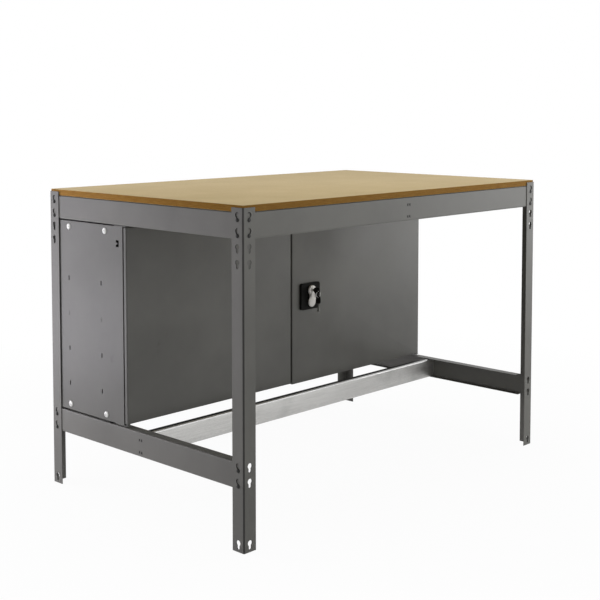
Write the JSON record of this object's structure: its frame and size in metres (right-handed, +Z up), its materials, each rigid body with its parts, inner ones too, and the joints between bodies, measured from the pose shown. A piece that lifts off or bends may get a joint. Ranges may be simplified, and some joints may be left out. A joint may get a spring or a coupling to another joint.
{
  "type": "workbench with cabinet",
  "caption": "Workshop bench of slotted angle legs and channel beams, with a board top and a lockable hinged-door cabinet hung under its rear half.",
  "frame": {"origin": "on the floor under the middle of the bench", "axes": "+X to the right along the bench seen from the front, +Y to the rear, +Z up"},
  "size_m": [1.2044, 0.7544, 0.8],
  "materials": {
    "board": "matt",
    "frame_paint": "semi-gloss powder coat",
    "cabinet_paint": "semi-gloss powder coat",
    "galvanised": "spangled zinc",
    "zinc": "bright zinc",
    "nickel": "satin nickel",
    "black_plastic": "fine texture",
    "bush_plastic": "smooth",
    "buffer_rubber": "matt"
  },
  "bodies": {
    "frame": {"worktop": "board", "leg_front_left": "frame_paint", "leg_front_right": "frame_paint", "leg_rear_left": "frame_paint", "leg_rear_right": "frame_paint", "upper_beam_front": "frame_paint", "upper_beam_rear": "frame_paint", "upper_beam_left": "frame_paint", "upper_beam_right": "frame_paint", "lower_beam_left": "frame_paint", "lower_beam_right": "frame_paint", "upper_beam_rivets": "zinc", "lower_beam_rivets": "zinc", "lower_crossbar": "galvanised", "worktop_support_bar": "galvanised", "cabinet_side_left": "cabinet_paint", "cabinet_side_right": "cabinet_paint", "cabinet_front_stiles": "cabinet_paint", "cabinet_rear_stiles": "cabinet_paint", "cabinet_top": "cabinet_paint", "cabinet_top_rails": "cabinet_paint", "cabinet_top_ends": "cabinet_paint", "cabinet_bottom": "cabinet_paint", "cabinet_bottom_rails": "cabinet_paint", "cabinet_bottom_ends": "cabinet_paint", "cabinet_back": "cabinet_paint", "cabinet_screws": "zinc", "cabinet_nuts": "zinc", "cabinet_spacers": "bush_plastic", "cabinet_mounting_bolts": "zinc", "cabinet_mounting_nuts": "zinc", "shelf": "cabinet_paint", "shelf_clips": "zinc", "hinge_brackets_lower": "cabinet_paint", "hinge_brackets_upper": "cabinet_paint", "door_buffers": "buffer_rubber"},
    "door_left": {"door_left_panel": "cabinet_paint", "door_left_stiffener": "cabinet_paint", "door_left_bushes": "bush_plastic"},
    "door_right": {"door_right_panel": "cabinet_paint", "door_right_stiffener": "cabinet_paint", "door_right_bushes": "bush_plastic", "lock_plate": "black_plastic", "lock_housing": "zinc", "rod_guides": "bush_plastic"},
    "lock_handle_set": {"lock_handle": "nickel", "lock_spindle": "zinc", "lock_cam": "zinc", "lock_cam_nut": "zinc"},
    "upper_rod": {"upper_lock_rod": "zinc"},
    "lower_rod": {"lower_lock_rod": "zinc"},
    "key_in_lock": {"lock_cylinder": "nickel", "key": "black_plastic"},
    "ring": {"key_ring": "zinc"},
    "hanging_key": {"spare_key": "black_plastic"}
  },
  "joints": [
    {"name": "left_door_hinge", "type": "hinge", "parent": "frame", "child": "door_left", "pos_m": [-0.5898, 0.05825, 0.467], "axis": [0, 0, -1], "range_deg": [0, 85]},
    {"name": "right_door_hinge", "type": "hinge", "parent": "frame", "child": "door_right", "pos_m": [0.5898, 0.05825, 0.4635], "axis": [0, 0, 1], "range_deg": [0, 85]},
    {"name": "lock_handle_turn", "type": "hinge", "parent": "door_right", "child": "lock_handle_set", "pos_m": [0.0725, 0.04, 0.4845], "axis": [0, 1, 0], "range_deg": [0, 90]},
    {"name": "upper_rod_slide", "type": "slide", "parent": "door_right", "child": "upper_rod", "axis": [0, 0, 1], "range_m": [0, 0.01415]},
    {"name": "lower_rod_slide", "type": "slide", "parent": "door_right", "child": "lower_rod", "axis": [0, 0, -1], "range_m": [0, 0.01415]},
    {"name": "key_turn", "type": "hinge", "parent": "lock_handle_set", "child": "key_in_lock", "pos_m": [0.0725, 0.0347, 0.4845], "axis": [0, 1, 0], "range_deg": [0, 90]},
    {"name": "ring_swing", "type": "hinge", "parent": "key_in_lock", "child": "ring", "pos_m": [0.0725, 0.0152, 0.4824], "axis": [1, 0, 0], "range_deg": [-40, 8]},
    {"name": "spare_key_swing", "type": "hinge", "parent": "ring", "child": "hanging_key", "pos_m": [0.0725, 0.0152, 0.4654], "axis": [1, 0, 0], "range_deg": [-40, 8]}
  ],
  "couplings": [
    {"joint": "upper_rod_slide", "follows": "lock_handle_turn", "m_per_rad": 0.0090032},
    {"joint": "lower_rod_slide", "follows": "lock_handle_turn", "m_per_rad": 0.0090032}
  ]
}
